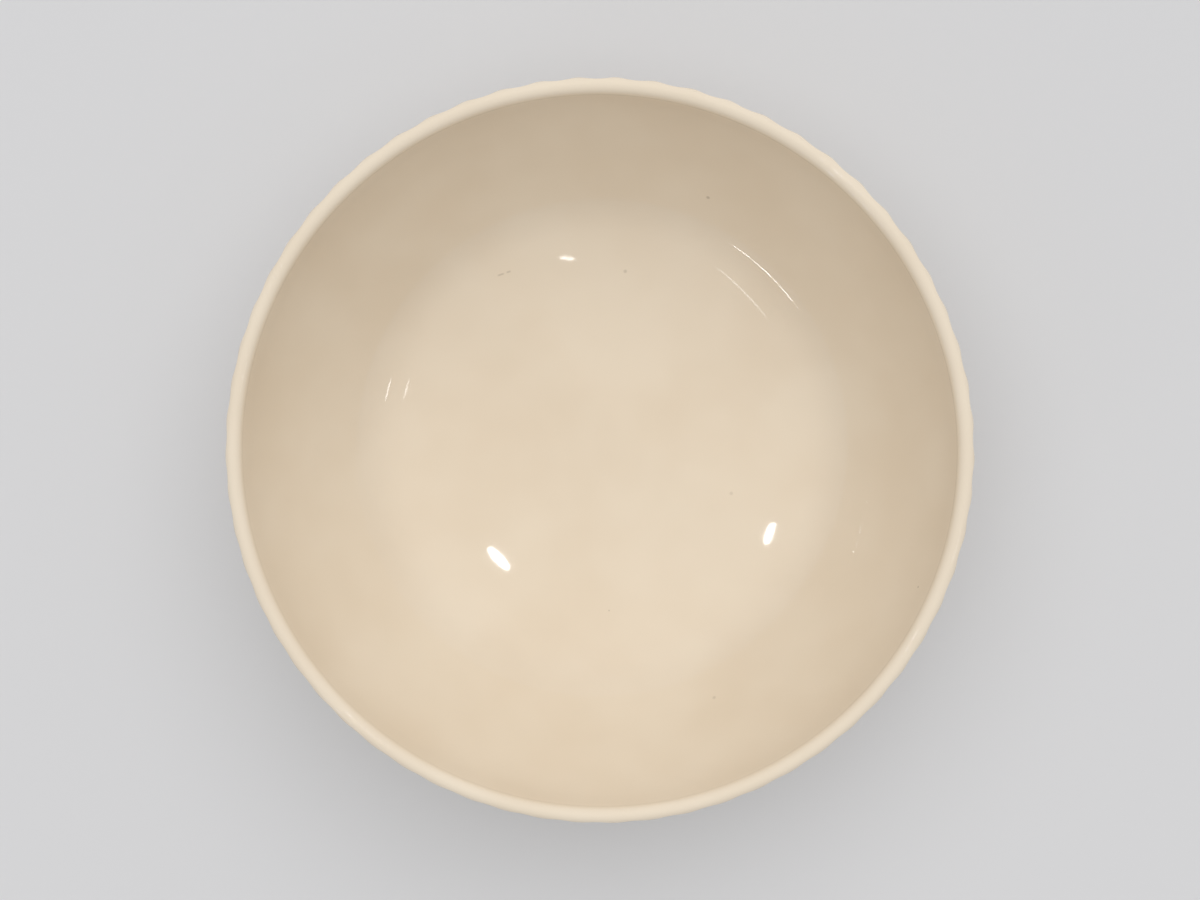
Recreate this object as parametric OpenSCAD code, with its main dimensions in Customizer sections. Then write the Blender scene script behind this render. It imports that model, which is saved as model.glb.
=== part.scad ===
// Round soy sauce dish: a pressed and fluted stoneware body on a foot ring,
// glazed inside and out, with the standing face of the foot left bare.
// The middle of the standing face is the origin, the dish opens towards +Z, and sizes are in millimetres.

/* [Overall size] */
// Diameter across the lip, over the lands between the flutes
rim_d = 90; // [84:1:110]
// Depth of the well, from the crest of the lip to the middle of the floor
well_depth = 24; // [21:0.5:28]

/* [Wall and lip] */
// Thickness of the rounded lip
lip_t = 2.2; // [1.9:0.1:2.8]
// Thickness of the wall halfway up the well
wall_t = 3; // [2.6:0.1:3.6]
// Radius of the curve of the wall inside the well
wall_curve_r = 40; // [36:1:60]
// Radius of the curve of the heel outside, between the wall and the foot ring
heel_curve_r = 19; // [15:0.5:24]

/* [Floor] */
// Diameter of the faint ring where the floor starts to turn up
floor_d = 55; // [50:1:60]
// Radius of the dished floor
floor_curve_r = 120; // [80:5:200]
// Radius of the turn between the floor and the wall
floor_turn_r = 10; // [6:0.5:14]
// Thickness of the floor in the middle
floor_t = 3.6; // [3:0.1:5]

/* [Foot ring] */
// Outside diameter of the foot ring
foot_d = 52; // [46:1:56]
// Width of the foot ring
foot_w = 3.4; // [2.6:0.1:5]
// Height of the foot ring outside, from the table up to the heel
foot_h = 3.4; // [2.4:0.1:4.2]
// Depth of the recess under the middle of the floor
recess_depth = 2.4; // [1.6:0.1:4]
// Radius of the softened edges of the standing face
foot_edge_r = 0.5; // [0.2:0.1:0.8]

/* [Flutes] */
// Number of flutes round the outside
flute_count = 62; // [40:1:66]
// Radius across the hollow of a flute
flute_r = 4.5; // [4:0.5:9]
// Depth of a flute at the widest part of the lip
flute_depth_lip = 0.5; // [0.2:0.05:0.5]
// Depth of a flute where the wall runs into the heel
flute_depth_heel = 0.38; // [0.2:0.02:0.4]
// Least land left between two flutes at the lip
land_min = 0.2; // [0.1:0.05:0.6]

/* [Glaze] */
// Thickness of the glaze
glaze_t = 0.3; // [0.2:0.05:0.5]
// Height of bare clay left above the standing face
bare_h = 1.2; // [0.9:0.1:1.8]

/* [Hidden] */
$fn = 180;

// Reach of cutting shapes past what they cut
margin = 1;
// Overlap of arcs that run on from each other
blend = 0.02;
// Fall, for each millimetre across the lip, of the line where the lip sits on the wall
lip_seat_fall = 0.2;

rim_r = rim_d / 2;
foot_r = foot_d / 2;
lip_r = lip_t / 2;
recess_r = foot_r - foot_w;
floor_z = recess_depth + floor_t;
height = floor_z + well_depth;

// Where two circles cross, left of the way from the first centre to the second
function circles_meet(c1, r1, c2, r2) =
    let (way = c2 - c1, d = norm(way), along = (d * d + r1 * r1 - r2 * r2) / (2 * d))
    c1 + way / d * along + [-way[1], way[0]] / d * sqrt(r1 * r1 - along * along);

// Point at a distance from one point, on the way to another
function towards(p, q, distance) = p + (q - p) / norm(q - p) * distance;

// Angle of the way from one point to another, in the upright section through the dish
function angle_of(p, q) = atan2(q[1] - p[1], q[0] - p[0]);

// Section through one side of the dish: points are [distance from the axis, height]
lip_c = [rim_r - lip_r, height - lip_r];
lip_outer = lip_c + [lip_r, 0];
lip_inner = lip_c - [lip_r, 0];

// Inside, three arcs run on from each other: the dished floor, the turn and the wall
floor_c = [0, floor_z + floor_curve_r];
ring_p = [floor_d / 2, floor_c[1] - sqrt(pow(floor_curve_r, 2) - pow(floor_d / 2, 2))];
turn_c = towards(ring_p, floor_c, floor_turn_r);
wall_c = circles_meet(turn_c, wall_curve_r - floor_turn_r, lip_inner, wall_curve_r);
turn_p = towards(wall_c, turn_c, wall_curve_r);
mid_angle = (angle_of(wall_c, turn_p) + angle_of(wall_c, lip_inner)) / 2;
mid_way = [cos(mid_angle), sin(mid_angle)];

// Outside, the wall is straight from the lip down to the heel, which is an arc that ends at the foot ring
mid_outer = wall_c + (wall_curve_r + wall_t) * mid_way;
wall_up = towards([0, 0], lip_outer - mid_outer, 1);
wall_out = [wall_up[1], -wall_up[0]];
heel_p = [foot_r, foot_h];
heel_depth = (lip_outer - heel_p) * wall_out;
heel_run = (lip_outer - heel_p) * wall_up - sqrt(heel_depth * (2 * heel_curve_r - heel_depth));
heel_top = lip_outer - heel_run * wall_up;
heel_c = heel_top - heel_curve_r * wall_out;

// The clay under the flutes is drawn in past the deepest of them
clay_line = glaze_t + max(flute_depth_lip, flute_depth_heel);

// The bottom of each flute is a straight line through its two depths
flute_lip_p = lip_outer - flute_depth_lip * wall_out;
flute_heel_p = heel_top - flute_depth_heel * wall_out;
flute_up = towards([0, 0], flute_lip_p - flute_heel_p, 1);
flute_out = [flute_up[1], -flute_up[0]];
flute_half_angle = 180 / flute_count - asin(land_min / rim_d);

// Disc in the section
module disc(centre, r) {
    translate(centre)
        circle(r = r);
}

// Air inside the well, grown by a coat
module well_section(coat) {
    difference() {
        intersection() {
            disc(floor_c, floor_curve_r + coat);
            disc(wall_c, wall_curve_r + coat);
        }
        polygon([
            turn_c,
            turn_c + 3 * (ring_p - turn_c),
            turn_c + 5 * (ring_p + turn_p - 2 * turn_c),
            turn_c + 3 * (turn_p - turn_c),
        ]);
    }
    disc(turn_c, floor_turn_r + coat + blend);
}

// Air in the recess under the floor, grown by a coat
module recess_section(coat) {
    difference() {
        translate([0, -margin])
            square([recess_r + coat, floor_z + margin]);
        disc(floor_c, floor_curve_r + floor_t - coat);
    }
}

// Everything within the outside of the wall, the heel and the foot ring, drawn in by a coat
module outside_section(coat) {
    intersection() {
        union() {
            polygon([
                [0, foot_h],
                heel_c,
                heel_top - coat * wall_out,
                lip_outer - coat * wall_out + margin * wall_up,
                [0, height],
            ]);
            disc(heel_c, heel_curve_r - coat + blend);
        }
        polygon([
            [0, foot_h / 2],
            [rim_d, foot_h / 2],
            lip_c + rim_r * [1, -lip_seat_fall],
            lip_c - lip_c[0] * [1, -lip_seat_fall],
        ]);
    }
    square([foot_r - coat, ring_p[1]]);
}

// One side of the dish, with its glazed faces drawn in by a coat
module dish_section(coat) {
    difference() {
        outside_section(coat);
        well_section(coat);
        recess_section(coat);
    }
    disc(lip_c, lip_r - coat);
}

// The well's side of a line through the middle of the wall, up to the crest of the lip
module well_side() {
    polygon([
        [0, floor_z - floor_t / 2],
        ring_p - [0, floor_t / 2],
        towards(turn_c, (ring_p + turn_p) / 2, floor_turn_r + floor_t / 2),
        wall_c + (wall_curve_r + wall_t / 2) * mid_way,
        lip_c,
        [lip_c[0], height + margin],
        [0, height + margin],
    ]);
}

// What is taken off a square edge to round it, with the edge's corner at the origin
module edge_round(r) {
    difference() {
        translate([-margin, -margin])
            square(r + margin);
        disc([r, r], r + blend);
    }
}

// Hollow of one flute: a round bar that lies along the wall, kept within its share of the turn
module flute() {
    foot_end = flute_heel_p - heel_curve_r / 2 * flute_up + flute_r * flute_out;
    intersection() {
        translate([foot_end[0], 0, foot_end[1]])
            rotate([0, angle_of([0, 0], flute_up) - 90, 180])
                cylinder(r = flute_r, h = heel_curve_r / 2 + norm(flute_lip_p - flute_heel_p) + lip_t);
        linear_extrude(height + lip_t)
            polygon([
                [0, 0],
                2 * rim_r * [cos(flute_half_angle), -sin(flute_half_angle)],
                2 * rim_r * [cos(flute_half_angle), sin(flute_half_angle)],
            ]);
    }
}

// One side of the clay, a coat of glaze smaller than the dish and straight under the flutes
module clay_section() {
    line_p = lip_outer - clay_line * wall_out;
    difference() {
        dish_section(glaze_t);
        polygon([
            line_p + lip_t * wall_up,
            line_p - (heel_run + heel_curve_r) * wall_up,
            line_p - (heel_run + heel_curve_r) * wall_up + rim_r * wall_out,
            line_p + lip_t * wall_up + rim_r * wall_out,
        ]);
        translate([foot_r - glaze_t, 0])
            mirror([1, 0])
                edge_round(foot_edge_r);
        translate([recess_r + glaze_t, 0])
            edge_round(foot_edge_r);
    }
}

module stoneware_body() {
    color("#cdb896")
        rotate_extrude()
            clay_section();
}

module inside_glaze() {
    color("#e8dac0")
        rotate_extrude()
            intersection() {
                difference() {
                    dish_section(0);
                    dish_section(glaze_t);
                }
                well_side();
            }
}

module outside_glaze() {
    color("#e0d0b4")
        difference() {
            rotate_extrude()
                difference() {
                    dish_section(0);
                    clay_section();
                    well_side();
                    square([foot_r - foot_w / 2, floor_z]);
                    square([foot_r + margin, bare_h]);
                }
            for (i = [0 : flute_count - 1])
                rotate([0, 0, (i + 0.5) * 360 / flute_count])
                    flute();
        }
}

module base_glaze() {
    color("#dccbae")
        rotate_extrude()
            difference() {
                intersection() {
                    recess_section(glaze_t);
                    translate([0, bare_h])
                        square([foot_r, floor_z]);
                }
                recess_section(0);
            }
}

stoneware_body();
inside_glaze();
outside_glaze();
base_glaze();
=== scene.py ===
import math

import bpy
import numpy as np
from mathutils import Matrix, Vector


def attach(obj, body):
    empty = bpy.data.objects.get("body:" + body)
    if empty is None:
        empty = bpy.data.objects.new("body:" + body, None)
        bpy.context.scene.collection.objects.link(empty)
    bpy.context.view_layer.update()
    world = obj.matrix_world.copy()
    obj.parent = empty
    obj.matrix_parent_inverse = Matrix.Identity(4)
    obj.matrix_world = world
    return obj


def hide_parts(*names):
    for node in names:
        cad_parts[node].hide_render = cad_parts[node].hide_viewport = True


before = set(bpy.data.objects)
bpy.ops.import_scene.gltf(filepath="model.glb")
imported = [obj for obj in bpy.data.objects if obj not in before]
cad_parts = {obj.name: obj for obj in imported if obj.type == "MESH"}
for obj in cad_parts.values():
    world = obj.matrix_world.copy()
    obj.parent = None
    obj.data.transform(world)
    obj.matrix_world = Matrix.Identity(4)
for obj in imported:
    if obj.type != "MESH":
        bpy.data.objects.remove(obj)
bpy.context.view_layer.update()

# Stoneware body: buff clay, pressed in a mould and fired in one piece, from the foot ring to the lip.
# Glaze covers it almost everywhere, so it shows only as the bare, sandy ring that the dish stands on.
# Points are [distance from the axis, height] in an upright section through one side, in millimetres.
MM = 0.001
rim_r = 45.0
height = 30.0
lip_r = 1.1
floor_z = 6.0
floor_t = 3.6
floor_curve_r = 120.0
floor_turn_r = 10.0
floor_r = 27.5
wall_curve_r = 40.0
wall_t = 3.0
heel_curve_r = 19.0
foot_r = 26.0
foot_w = 3.4
foot_h = 3.4
foot_edge_r = 0.5
glaze_t = 0.3
clay_drawn_in = 0.8
fine_step = 0.05
same_place = 1e-6
body_count = 186
toasted_clay = (0.62, 0.48, 0.32, 1)
buff_clay = (0.74, 0.62, 0.46, 1)
dark_grit = (0.24, 0.15, 0.08, 1)


def towards(start, end, distance):
    """Point at a distance from one point, on the way to another."""
    return start + (end - start) / np.linalg.norm(end - start) * distance


def angle_of(centre, end):
    """Angle in degrees of the way from a centre to a point of the section."""
    return math.degrees(math.atan2(end[1] - centre[1], end[0] - centre[0]))


def arc(centre, radius, start, end):
    """Fine points along an arc of the section, from one angle to another in degrees."""
    count = max(2, math.ceil(abs(math.radians(end - start)) * radius / fine_step))
    angles = np.radians(np.linspace(start, end, count + 1))
    return centre + radius * np.stack([np.cos(angles), np.sin(angles)], axis=1)


def line(start, end):
    """Fine points along a straight line of the section."""
    count = max(2, math.ceil(np.linalg.norm(end - start) / fine_step))
    return start + np.linspace(0, 1, count + 1)[:, None] * (end - start)


def joined(*paths):
    """One path of the section from several that run on from each other."""
    points = np.concatenate(paths)
    steps = np.linalg.norm(np.diff(points, axis=0), axis=1)
    return points[np.concatenate([[True], steps > same_place])]


def rows_of(path, longest, widest_turn):
    """The points of a fine path that become rows of a mesh: closer together where the path turns."""
    way = np.diff(path, axis=0)
    lengths = np.linalg.norm(way, axis=1)
    headings = np.unwrap(np.arctan2(way[:, 1], way[:, 0]))
    kept = [0]
    for i in range(1, len(path) - 1):
        length = lengths[kept[-1]:i].sum()
        turn = abs(headings[i] - headings[kept[-1]])
        if length >= longest or turn >= math.radians(widest_turn):
            kept.append(i)
    return path[kept + [len(path) - 1]]


def turned(section, count):
    """Grid of points that a section makes when it is turned about the axis in a number of steps."""
    turn = np.arange(count) * 2 * math.pi / count
    out, up = section[:, :1], section[:, 1:]
    return np.stack([out * np.cos(turn), out * np.sin(turn), up + 0 * turn], axis=2)


def on_axis(ring):
    """Whether a row of a turned grid is a single point on the axis."""
    return np.abs(ring[:, :2]).max() < same_place


def normals_of(grid):
    """Normals of a turned grid. A row that lies on the axis takes the mean of the row next to it."""
    along = np.gradient(grid, axis=0)
    around = np.roll(grid, -1, axis=1) - np.roll(grid, 1, axis=1)
    normals = np.cross(along, around)
    for row, beside in ((0, 1), (-1, -2)):
        if on_axis(grid[row]):
            normals[row] = normals[beside].mean(axis=0)
    return normals / np.linalg.norm(normals, axis=2, keepdims=True)


def run_of(path, count, longest, widest_turn):
    """Grid and normals of a path that is turned about the axis."""
    grid = turned(rows_of(path, longest, widest_turn), count)
    return grid, normals_of(grid)


def turned_piece(name, runs):
    """Closed mesh from runs of (grid, normals) round a section.

    Each run starts on the row where the last one ended. The last may end on the first one's first row.
    """
    points, faces, face_normals = [], [], []
    first_row = last_row = None
    for number, (grid, normals) in enumerate(runs):
        columns = np.arange(grid.shape[1])
        beside = np.roll(columns, -1)
        rows = []
        for i, ring in enumerate(grid):
            if i == 0 and number > 0:
                rows.append(last_row)
            elif i == len(grid) - 1 and number == len(runs) - 1 and np.allclose(ring, runs[0][0][0]):
                rows.append(first_row)
            elif on_axis(ring):
                rows.append(np.full(len(columns), len(points)))
                points.append(ring[0])
            else:
                rows.append(len(points) + columns)
                points.extend(ring)
        for i in range(len(grid) - 1):
            here, after = rows[i], rows[i + 1]
            corners = [(here, i, columns), (after, i + 1, columns), (after, i + 1, beside), (here, i, beside)]
            if here[0] == here[-1]:
                corners.pop(3)
            elif after[0] == after[-1]:
                corners.pop(2)
            faces.extend(np.stack([row[side] for row, _, side in corners], axis=1).tolist())
            ways_out = np.stack([normals[k][side] for _, k, side in corners], axis=1)
            face_normals.extend(ways_out.reshape(-1, 3))
        first_row = rows[0] if first_row is None else first_row
        last_row = rows[-1]
    mesh = bpy.data.meshes.new(name)
    mesh.from_pydata((np.array(points) * MM).tolist(), [], faces)
    mesh.shade_smooth()
    mesh.normals_split_custom_set(np.array(face_normals).tolist())
    piece = bpy.data.objects.new(name, mesh)
    bpy.context.scene.collection.objects.link(piece)
    return piece


# The inside is three arcs that run on from each other: the dished floor, the turn and the wall.
lip_c = np.array([rim_r - lip_r, height - lip_r])
lip_outer = lip_c + [lip_r, 0]
lip_inner = lip_c - [lip_r, 0]
floor_c = np.array([0, floor_z + floor_curve_r])
ring_p = np.array([floor_r, floor_c[1] - math.sqrt(floor_curve_r**2 - floor_r**2)])
turn_c = towards(ring_p, floor_c, floor_turn_r)
turn_to_lip = lip_inner - turn_c
reach = np.linalg.norm(turn_to_lip)
along = (reach**2 + (wall_curve_r - floor_turn_r)**2 - wall_curve_r**2) / (2 * reach)
aside = math.sqrt((wall_curve_r - floor_turn_r)**2 - along**2)
wall_c = turn_c + turn_to_lip / reach * along + np.array([-turn_to_lip[1], turn_to_lip[0]]) / reach * aside
turn_p = towards(wall_c, turn_c, wall_curve_r)

# The outside is straight from the lip down to the heel, an arc that ends at the foot ring.
mid_angle = math.radians((angle_of(wall_c, turn_p) + angle_of(wall_c, lip_inner)) / 2)
mid_outer = wall_c + (wall_curve_r + wall_t) * np.array([math.cos(mid_angle), math.sin(mid_angle)])
wall_up = towards(np.zeros(2), lip_outer - mid_outer, 1)
wall_out = np.array([wall_up[1], -wall_up[0]])
heel_p = np.array([foot_r, foot_h])
heel_depth = (lip_outer - heel_p) @ wall_out
heel_run = (lip_outer - heel_p) @ wall_up - math.sqrt(heel_depth * (2 * heel_curve_r - heel_depth))
heel_top = lip_outer - heel_run * wall_up
heel_c = heel_top - heel_curve_r * wall_out


def inside_path(coat):
    """The inside from the middle of the floor up to the lip, sunk into the clay by a coat."""
    ring_angle = angle_of(floor_c, ring_p)
    return joined(
        arc(floor_c, floor_curve_r + coat, -90, ring_angle),
        arc(turn_c, floor_turn_r + coat, ring_angle, angle_of(wall_c, turn_p)),
        arc(wall_c, wall_curve_r + coat, angle_of(wall_c, turn_p), angle_of(wall_c, lip_inner)),
    )


# The clay is a coat of glaze smaller all round, and is drawn in further under the flutes, past the deepest.
wall_lean = angle_of(np.zeros(2), wall_out)
clay_lip_end = wall_lean + math.degrees(math.acos((lip_r * wall_out[0] - clay_drawn_in) / (lip_r - glaze_t)))
clay_lip = arc(lip_c, lip_r - glaze_t, 180, clay_lip_end)
clay_foot_r = foot_r - glaze_t
clay_heel_r = heel_curve_r - glaze_t
clay_heel_start = wall_lean - math.degrees(math.acos((heel_curve_r - clay_drawn_in) / clay_heel_r))
clay_heel_end = -math.degrees(math.acos((clay_foot_r - heel_c[0]) / clay_heel_r))
clay_heel = arc(heel_c, clay_heel_r, clay_heel_start, clay_heel_end)
clay_recess_r = foot_r - foot_w + glaze_t
clay_ceiling_r = floor_curve_r + floor_t - glaze_t
clay_ceiling_angle = -90 + math.degrees(math.asin(clay_recess_r / clay_ceiling_r))
clay_path = joined(
    inside_path(glaze_t),
    clay_lip,
    line(clay_lip[-1], clay_heel[0]),
    clay_heel,
    line(np.array([clay_foot_r, clay_heel[-1][1]]), np.array([clay_foot_r, foot_edge_r])),
    arc(np.array([clay_foot_r - foot_edge_r, foot_edge_r]), foot_edge_r, 0, -90),
    arc(np.array([clay_recess_r + foot_edge_r, foot_edge_r]), foot_edge_r, -90, -180),
    arc(floor_c, clay_ceiling_r, clay_ceiling_angle, -90),
)
body = turned_piece("stoneware_body_fired", [run_of(clay_path, body_count, longest=0.9, widest_turn=8)])


class Shade:
    """A socket of a material's nodes. Arithmetic on it adds Math nodes."""

    def __init__(self, tree, socket=None):
        self.tree = tree
        self.socket = socket

    def add(self, kind, settings, inputs, out=0):
        """Adds a node of a kind, with its settings and then its inputs, and gives one of its outputs."""
        node = self.tree.nodes.new(kind)
        for name, value in settings.items():
            setattr(node, name, value)
        for name, value in inputs.items():
            if isinstance(value, Shade):
                self.tree.links.new(value.socket, node.inputs[name])
            else:
                node.inputs[name].default_value = value
        return Shade(self.tree, node.outputs[out])

    def math(self, operation, *values):
        """Result of a Math node on some values."""
        return self.add("ShaderNodeMath", {"operation": operation}, dict(enumerate(values)))

    def __add__(self, other):
        return self.math("ADD", self, other)

    def __radd__(self, other):
        return self.math("ADD", other, self)

    def __sub__(self, other):
        return self.math("SUBTRACT", self, other)

    def __rsub__(self, other):
        return self.math("SUBTRACT", other, self)

    def __mul__(self, other):
        return self.math("MULTIPLY", self, other)

    def __rmul__(self, other):
        return self.math("MULTIPLY", other, self)

    def __truediv__(self, other):
        return self.math("DIVIDE", self, other)

    def __rtruediv__(self, other):
        return self.math("DIVIDE", other, self)

    def larger(self, other):
        """The larger of two values."""
        return self.math("MAXIMUM", self, other)

    def axis(self, name):
        """One of the three numbers of a place: X, Y or Z."""
        return self.add("ShaderNodeSeparateXYZ", {}, {"Vector": self}, out=name)

    def fade(self, start, end):
        """Rises smoothly from 0 at start to 1 at end."""
        inputs = {"Value": self, "From Min": start, "From Max": end}
        return self.add("ShaderNodeMapRange", {"interpolation_type": "SMOOTHSTEP"}, inputs)

    def between(self, low, high):
        """Colour that runs from one colour at 0 to another at 1."""
        return self.add("ShaderNodeMix", {"data_type": "RGBA"}, {0: self, 6: low, 7: high}, out=2)

    def noise(self, size, detail=2.0):
        """Cloudy pattern with patches of about a size in metres, round 0.5."""
        return self.add("ShaderNodeTexNoise", {}, {"Vector": self, "Scale": 1 / size, "Detail": detail})

    def specks(self, spacing, radius):
        """Mask of scattered specks: one in a cell of that spacing, no larger than a radius, in metres."""
        distance = self.add("ShaderNodeTexVoronoi", {}, {"Vector": self, "Scale": 1 / spacing})
        return 1 - distance.fade(0.4 * radius / spacing, radius / spacing)

    def relief(self, strength, distance):
        """Normal of a surface that stands up and sinks in with this value, by a distance in metres."""
        return self.add("ShaderNodeBump", {}, {"Strength": strength, "Distance": distance, "Height": self})


def new_finish(piece, name):
    """New material on a piece. Gives its surface shader and the place on the object, in metres."""
    material = bpy.data.materials.new(name)
    material.use_nodes = True
    piece.data.materials.append(material)
    tree = material.node_tree
    place = Shade(tree).add("ShaderNodeTexCoord", {}, {}, out="Object")
    return tree.nodes["Principled BSDF"], place


def feed(shader, **inputs):
    """Links varying values into a shader's sockets, or sets plain ones on them."""
    for name, value in inputs.items():
        socket = shader.inputs[name.replace("_", " ").title().replace("Ior", "IOR")]
        if isinstance(value, Shade):
            value.tree.links.new(value.socket, socket)
        else:
            socket.default_value = value


shader, place = new_finish(body, "bare_stoneware")
grog = place.noise(0.9 * MM, detail=3.0)
clouds = place.noise(9 * MM)
sand = place.noise(0.5 * MM, detail=3.0)
patches = (0.6 * clouds + 0.4 * grog).fade(0.38, 0.66).between(toasted_clay, buff_clay)
bare_colour = (0.7 * place.specks(2.2 * MM, 0.3 * MM)).between(patches, dark_grit)
feed(shader, base_color=bare_colour, roughness=0.72 + 0.25 * grog, normal=sand.relief(0.5, 0.12 * MM))
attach(body, "root")
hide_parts("stoneware_body")

# Base glaze: the coat in the recess inside the foot ring, poured in and wiped off the standing face.
# It pools into a soft fillet in the corner of the recess, and ends in a rounded line just above the table.
# The face of a coat that lies on the clay is out of sight, so its mesh is coarser than the face that shows.
bare_h = 1.2
edge_r = 0.2
fillet_reach = 0.35
hidden_side_h = 2.5
coat_count = 372
hidden_rows = {"longest": 2.5, "widest_turn": 12}
cream = (0.73, 0.62, 0.48, 1)
pale_cream = (0.84, 0.76, 0.635, 1)
warm_cream = (0.67, 0.555, 0.415, 1)
iron = (0.16, 0.10, 0.055, 1)
evenness = 0.8


def softened(path, reach):
    """A fine path with its corners rounded over a reach, as glaze rounds them. Its two ends stay."""
    lengths = np.concatenate([[0], np.cumsum(np.linalg.norm(np.diff(path, axis=0), axis=1))])
    even = np.linspace(0, lengths[-1], math.ceil(lengths[-1] / fine_step))
    step = even[1]
    path = np.stack([np.interp(even, lengths, path[:, k]) for k in (0, 1)], axis=1)
    pad = math.ceil(3 * reach / step)
    weights = np.exp(-0.5 * (np.arange(-pad, pad + 1) * step / reach)**2)
    before = 2 * path[0] - path[pad:0:-1]
    after = 2 * path[-1] - path[-2:-pad - 2:-1]
    longer = np.concatenate([before, path, after])
    return np.stack([np.convolve(longer[:, k], weights / weights.sum(), "valid") for k in (0, 1)], axis=1)


recess_r = foot_r - foot_w
ceiling_r = floor_curve_r + floor_t
ceiling_corner = floor_c + [recess_r, -math.sqrt(ceiling_r**2 - recess_r**2)]
recess_shown = softened(
    joined(
        arc(np.array([recess_r + edge_r, bare_h + edge_r]), edge_r, 270, 180),
        line(np.array([recess_r, bare_h + edge_r]), ceiling_corner),
        arc(floor_c, ceiling_r, angle_of(floor_c, ceiling_corner), -90),
    ),
    fillet_reach,
)
recess_hidden = joined(
    arc(floor_c, clay_ceiling_r, -90, clay_ceiling_angle),
    line(np.array([clay_recess_r, bare_h + hidden_side_h]), np.array([clay_recess_r, bare_h])),
    line(np.array([clay_recess_r, bare_h]), recess_shown[0]),
)
base_runs = [
    run_of(recess_hidden, coat_count, **hidden_rows),
    run_of(recess_shown, coat_count, longest=0.9, widest_turn=5),
]
base = turned_piece("base_glaze_coat", base_runs)


def cream_glaze(piece, name, thin_and_painted_light=None, pooled=None, marked=None):
    """Glossy cream glaze with faint clouds of colour, a few iron specks and a very slight ripple.

    Masks of the place make it paler where it is thin or has painted light, warmer where pooled, dark where
    marked.
    """
    shader, place = new_finish(piece, name)
    clouds = place.noise(14 * MM)
    cloudy = clouds.fade(0.25, 0.75).between(warm_cream, pale_cream)
    colour = place.add("ShaderNodeMix", {"data_type": "RGBA"}, {0: evenness, 6: cloudy, 7: cream}, out=2)
    if thin_and_painted_light:
        colour = thin_and_painted_light(place).between(colour, pale_cream)
    if pooled:
        colour = pooled(place).between(colour, warm_cream)
    colour = (0.45 * place.specks(9 * MM, 0.2 * MM)).between(colour, iron)
    if marked:
        colour = marked(place).between(colour, iron)
    ripple = 0.7 * place.noise(4.5 * MM) + 0.3 * place.noise(1.6 * MM)
    skin = ripple.relief(0.018, 0.1 * MM)
    feed(shader, base_color=colour, roughness=0.018 + 0.024 * clouds, ior=1.52, normal=skin)


cream_glaze(base, "base_cream_glaze")
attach(base, "root")
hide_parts("base_glaze")

# Inside glaze: the coat that lines the well, from the middle of the floor to the crest of the lip.
# It is poured in and turned out, so it lies even on the floor and runs thin on the lip and just under it.
# Four iron specks show in the well, and a thin grey line that cutlery left in two touches.
thinned_lip = 0.12
thinned_wall = 0.24
thinnest_at = 3.0
thinned_from = 12.0
skin_reach = 0.12
specks_and_darkness = (
    ((13.46, 31.62, 14.0), 0.34),
    ((2.84, 22.38, 8.1), 0.24),
    ((16.91, -6.89, 7.4), 0.16),
    ((14.60, -32.48, 15.5), 0.20),
)
touches_and_half_lengths = (
    ((-13.4, 21.95, 0), 0.42),
    ((-12.4, 22.3, 0), 0.28),
)
touch_turn = (0, 0, math.radians(19))
touch_darkness = 0.26


def eased(share):
    """Smooth rise from 0 at 0 to 1 at 1."""
    share = np.clip(share, 0, 1)
    return share**2 * (3 - 2 * share)


inside_shown = inside_path(0)
below_lip = np.linalg.norm(inside_shown - lip_inner, axis=1)
taken = thinned_lip + (thinned_wall - thinned_lip) * eased(below_lip / thinnest_at)
taken *= eased((thinned_from - below_lip) / (thinned_from - thinnest_at))
inside_shown += taken[:, None] * (inside_shown - wall_c) / wall_curve_r
shown_lip_r = (rim_r - inside_shown[-1][0]) / 2
shown_lip_c = np.array([rim_r - shown_lip_r, height - shown_lip_r])
glazed_path = softened(
    joined(
        inside_shown,
        arc(shown_lip_c, shown_lip_r, 180, 0),
        line(lip_outer, heel_top),
        arc(heel_c, heel_curve_r, angle_of(heel_c, heel_top), angle_of(heel_c, heel_p)),
        line(heel_p, np.array([foot_r, bare_h + edge_r])),
        arc(np.array([foot_r - edge_r, bare_h + edge_r]), edge_r, 0, -90),
    ),
    skin_reach,
)
crest = int(np.argmax(glazed_path[:, 1]))
clay_crest = lip_c + [0, lip_r - glaze_t]
inside_hidden = joined(
    line(glazed_path[crest], clay_crest),
    clay_lip[:len(clay_lip) // 2][::-1],
    inside_path(glaze_t)[::-1],
)
inside_grid, inside_normals = run_of(glazed_path[:crest + 1], coat_count, longest=0.9, widest_turn=3)
inside_normals[-1] = (0, 0, 1)
inside_runs = [(inside_grid, inside_normals), run_of(inside_hidden, coat_count, **hidden_rows)]
inside = turned_piece("inside_glaze_coat", inside_runs)


def lip_thin_and_painted_light(place):
    """Mask of the crest of the lip: paler where the glaze runs thin, plus painted light where it faces up."""
    return 0.25 * place.axis("Z").fade((height - 1.8) * MM, (height - 0.3) * MM)


def well_marks(place):
    """Mask of the specks and of the line in the well."""
    marks = []
    for spot, darkness in specks_and_darkness:
        ends = {0: place, 1: Vector(spot) * MM}
        distance = place.add("ShaderNodeVectorMath", {"operation": "DISTANCE"}, ends, out="Value")
        marks.append(darkness * (1 - distance.fade(0.1 * MM, 0.34 * MM)))
    for spot, half_length in touches_and_half_lengths:
        turned_to = {"Vector": place, "Location": Vector(spot) * MM, "Rotation": touch_turn}
        at = place.add("ShaderNodeMapping", {"vector_type": "TEXTURE"}, turned_to)
        off_length = at.math("ABSOLUTE", at.axis("X")).fade(0.5 * half_length * MM, 1.4 * half_length * MM)
        off_width = at.math("ABSOLUTE", at.axis("Y")).fade(0.04 * MM, 0.18 * MM)
        marks.append(touch_darkness * (1 - off_length) * (1 - off_width))
    shown = marks[0]
    for mark in marks[1:]:
        shown = shown.larger(mark)
    return shown


# The lip's crest is painted paler: partly thin glaze, partly painted light where it faces up.
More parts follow.
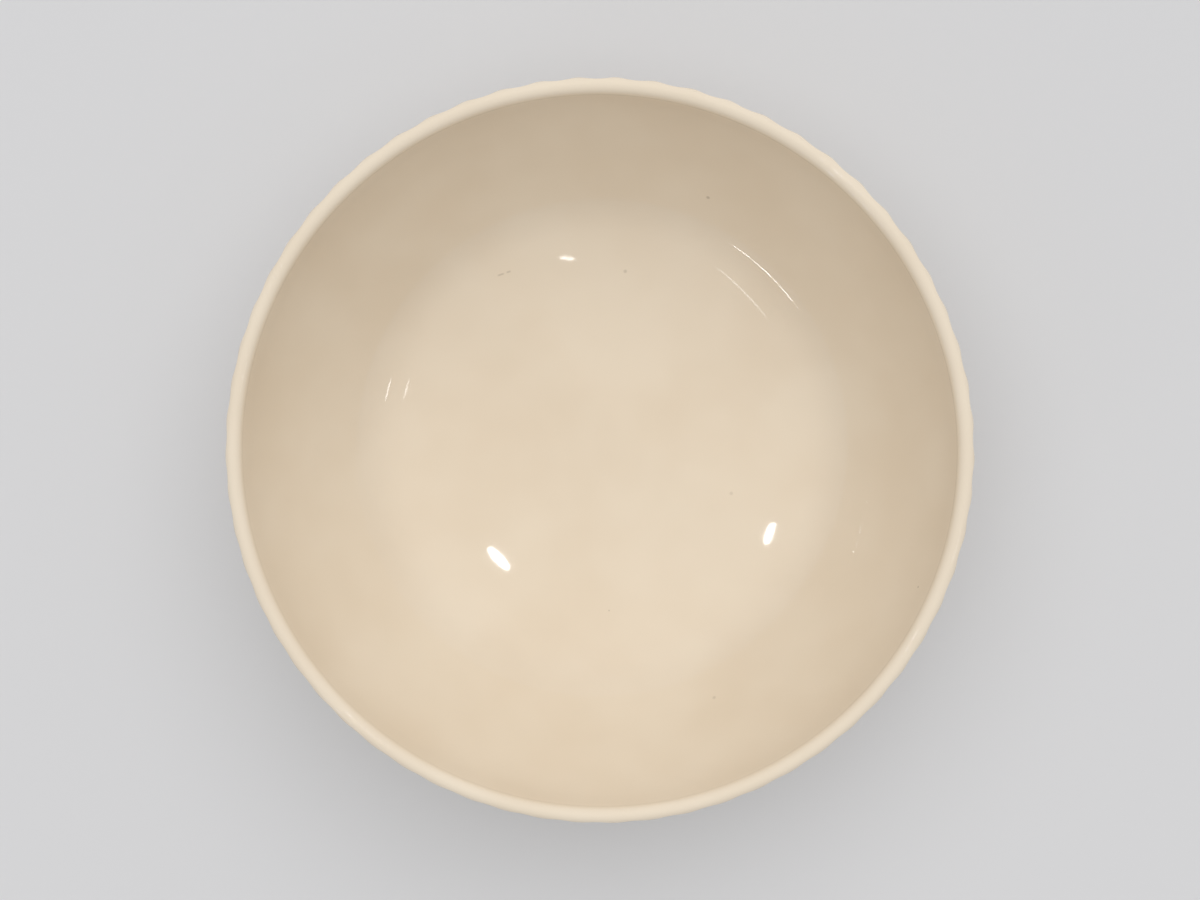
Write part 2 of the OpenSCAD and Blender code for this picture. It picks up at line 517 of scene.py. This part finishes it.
cream_glaze(inside, "inside_cream_glaze", thin_and_painted_light=lip_thin_and_painted_light, marked=well_marks)
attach(inside, "root")
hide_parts("inside_glaze")

# Outside glaze: the coat over the fluted wall, the heel and the side of the foot ring.
# The flutes are pressed side by side and meet in narrow lands; each dies out over the lip and on the heel.
# The glaze breaks pale over the lands, gathers in the hollows and at the foot, and ends above the table.
flute_count = 62
flute_steps = 12
flute_r = 4.5
flute_depth_lip = 0.5
flute_depth_heel = 0.38
land_round = 0.05
outside_count = flute_count * flute_steps
pitch = 2 * math.pi / flute_count
flute_lip_p = lip_outer - flute_depth_lip * wall_out
flute_heel_p = heel_top - flute_depth_heel * wall_out
flute_up = towards(np.zeros(2), flute_lip_p - flute_heel_p, 1)
flute_out = np.array([flute_up[1], -flute_up[0]])
outside_rows = rows_of(glazed_path[crest:], longest=0.6, widest_turn=3)
outside_grid = turned(outside_rows, outside_count)
columns = np.arange(outside_count)
off_middle = (columns % flute_steps - flute_steps / 2) * pitch / flute_steps
sideways = outside_rows[:, :1] * np.sin(off_middle)
hollow = flute_r - np.sqrt(flute_r**2 - sideways**2)
over = ((outside_rows - flute_lip_p) @ flute_out)[:, None] - hollow
sunk = (over + np.sqrt(over**2 + land_round**2)) / 2
sunk[0] = 0
turn = columns * pitch / flute_steps
inwards = sunk * flute_out[0]
outside_grid -= np.stack([inwards * np.cos(turn), inwards * np.sin(turn), sunk * flute_out[1]], axis=2)
outside_hidden = joined(
    line(glazed_path[-1], np.array([clay_foot_r, bare_h])),
    line(np.array([clay_foot_r, bare_h]), np.array([clay_foot_r, clay_heel[-1][1]])),
    clay_heel[::-1],
    line(clay_heel[0], clay_lip[-1]),
    clay_lip[len(clay_lip) // 2:][::-1],
    line(clay_crest, glazed_path[crest]),
)
outside_normals = normals_of(outside_grid)
outside_normals[0] = (0, 0, 1)
outside_runs = [(outside_grid, outside_normals), run_of(outside_hidden, outside_count, **hidden_rows)]
outside = turned_piece("outside_glaze_coat", outside_runs)


def off_land(place):
    """Distance from the middle of the nearest land, from 0 there to 0.5 in the middle of a flute."""
    turns = place.math("ARCTAN2", place.axis("Y"), place.axis("X")) / pitch
    return place.math("PINGPONG", turns, 0.5)


def fluted_height(place):
    """Mask of the height over which the wall has flutes."""
    up = place.axis("Z")
    return up.fade(10.0 * MM, 13.5 * MM) * (1 - up.fade(28.6 * MM, 29.2 * MM))


def lands_thin_lip_painted_light(place):
    """Mask of the lands, where the glaze runs thin, and of the lip, thin and with painted light on its crest.
    """
    lands = 0.5 * (1 - off_land(place).fade(0.06, 0.2)) * fluted_height(place)
    return lands.larger(lip_thin_and_painted_light(place))


def pooled_in_flutes(place):
    """Mask of the hollows and of the corner above the foot ring, where the glaze gathers."""
    hollows = 0.3 * off_land(place).fade(0.2, 0.5) * fluted_height(place)
    corner = 0.5 * (1 - place.axis("Z").fade(foot_h * MM, (foot_h + 1.8) * MM))
    return hollows.larger(corner)


# The lands are paler where the glaze runs thin; the lip's crest is also paler with painted light.
cream_glaze(outside, "outside_cream_glaze", thin_and_painted_light=lands_thin_lip_painted_light, pooled=pooled_in_flutes)
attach(outside, "root")
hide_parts("outside_glaze")

# Floor: a plain pale studio table under the dish, so wide that its edges stay out of sight.
half_width = 8.0
corners = [(x * half_width, y * half_width, 0) for x, y in ((-1, -1), (1, -1), (1, 1), (-1, 1))]
floor_mesh = bpy.data.meshes.new("studio_floor")
floor_mesh.from_pydata(corners, [], [(0, 1, 2, 3)])
studio_floor = bpy.data.objects.new("studio_floor", floor_mesh)
bpy.context.scene.collection.objects.link(studio_floor)
shader, place = new_finish(studio_floor, "pale_floor")
feed(shader, base_color=(0.62, 0.62, 0.63, 1), roughness=0.6)

# Light: an even pale surround, and two wide soft lights, overhead and aside, that the glaze doesn't mirror.
# Small lamps that it does mirror stand round the dish and give it short bright marks and thin lines.
light_strength = 0.50
shown_strength = 0.62
lamp_distance = 1.0
world = bpy.data.worlds.new("pale_surround")
world.use_nodes = True
bpy.context.scene.world = world
surround = world.node_tree.nodes["Background"]
shown = sum(
    Shade(world.node_tree).add("ShaderNodeLightPath", {}, {}, out=f"Is {kind} Ray")
    for kind in ("Camera", "Glossy", "Transmission")
)
feed(surround, color=(1, 1, 1, 1), strength=light_strength + (shown_strength - light_strength) * shown)

for name, energy, spread, lean, way_round in (
    ("soft_light_overhead", 1.6, 75, 20, -4),
    ("soft_light_aside", 0.34, 60, 62, -30),
):
    light = bpy.data.lights.new(name, "SUN")
    light.energy = energy
    light.angle = math.radians(spread)
    stand = bpy.data.objects.new(name, light)
    stand.rotation_euler = (math.radians(-lean), 0, math.radians(way_round))
    stand.visible_glossy = False
    bpy.context.scene.collection.objects.link(stand)


def lamp(name, toward, size, long_way, power):
    """Lamp of a size in metres that shines on the well from a direction, its long side along a way."""
    light = bpy.data.lights.new(name, "AREA")
    light.shape = "ELLIPSE"
    light.size, light.size_y = size
    light.energy = power
    stand = bpy.data.objects.new(name, light)
    way = Vector(toward).normalized()
    across = way.cross(Vector(long_way)).normalized()
    facing = Matrix((across.cross(way), across, way)).transposed().to_4x4()
    stand.matrix_world = Matrix.Translation(Vector((0, 0, floor_z * MM)) + lamp_distance * way) @ facing
    bpy.context.scene.collection.objects.link(stand)


lamp("small_lamp_left", (0.121, 0.088, 0.989), (0.043, 0.0105), (-0.69, 0.73, 0), 0.08)
lamp("small_lamp_right", (-0.284, 0.043, 0.958), (0.032, 0.0075), (0.36, 0.93, 0), 0.04)
lamp("small_lamp_near", (0.013, -0.359, 0.933), (0.022, 0.002), (1, -0.09, 0), 0.004)
lamp("faint_lamp_high", (0.258, -0.17, 0.951), (0.033, 0.008), (-0.34, -0.94, 0), 0.004)
lamp("faint_lamp_low", (0.547, -0.235, 0.803), (0.067, 0.04), (-0.6, -0.78, 0), 0.05)
lamp("strip_lamp_high", (-0.243, -0.315, 0.917), (0.107, 0.006), (-0.6, 0.79, 0), 0.009)
lamp("strip_lamp_low", (-0.588, -0.666, 0.459), (0.32, 0.013), (0.66, -0.60, 0), 0.3)

# Camera: almost straight above, a little towards the far right, at the distance of a hand-held photo.
camera = bpy.data.objects.new("camera", bpy.data.cameras.new("camera"))
bpy.context.scene.collection.objects.link(camera)
camera.data.sensor_fit = "HORIZONTAL"
camera.data.sensor_width = 36.0
camera.data.lens = 51.8
camera.data.clip_start = 0.01
eye = Vector((0.0087, 0.021, 0.235))
aim = Vector((0.00042, 0.00102, 0.030))
back = (eye - aim).normalized()
right = Vector((0, 1, 0)).cross(back).normalized()
facing = Matrix((right, back.cross(right), back)).transposed().to_4x4()
camera.matrix_world = Matrix.Translation(eye) @ facing
bpy.context.scene.camera = camera
bpy.context.scene.view_settings.view_transform = "Standard"
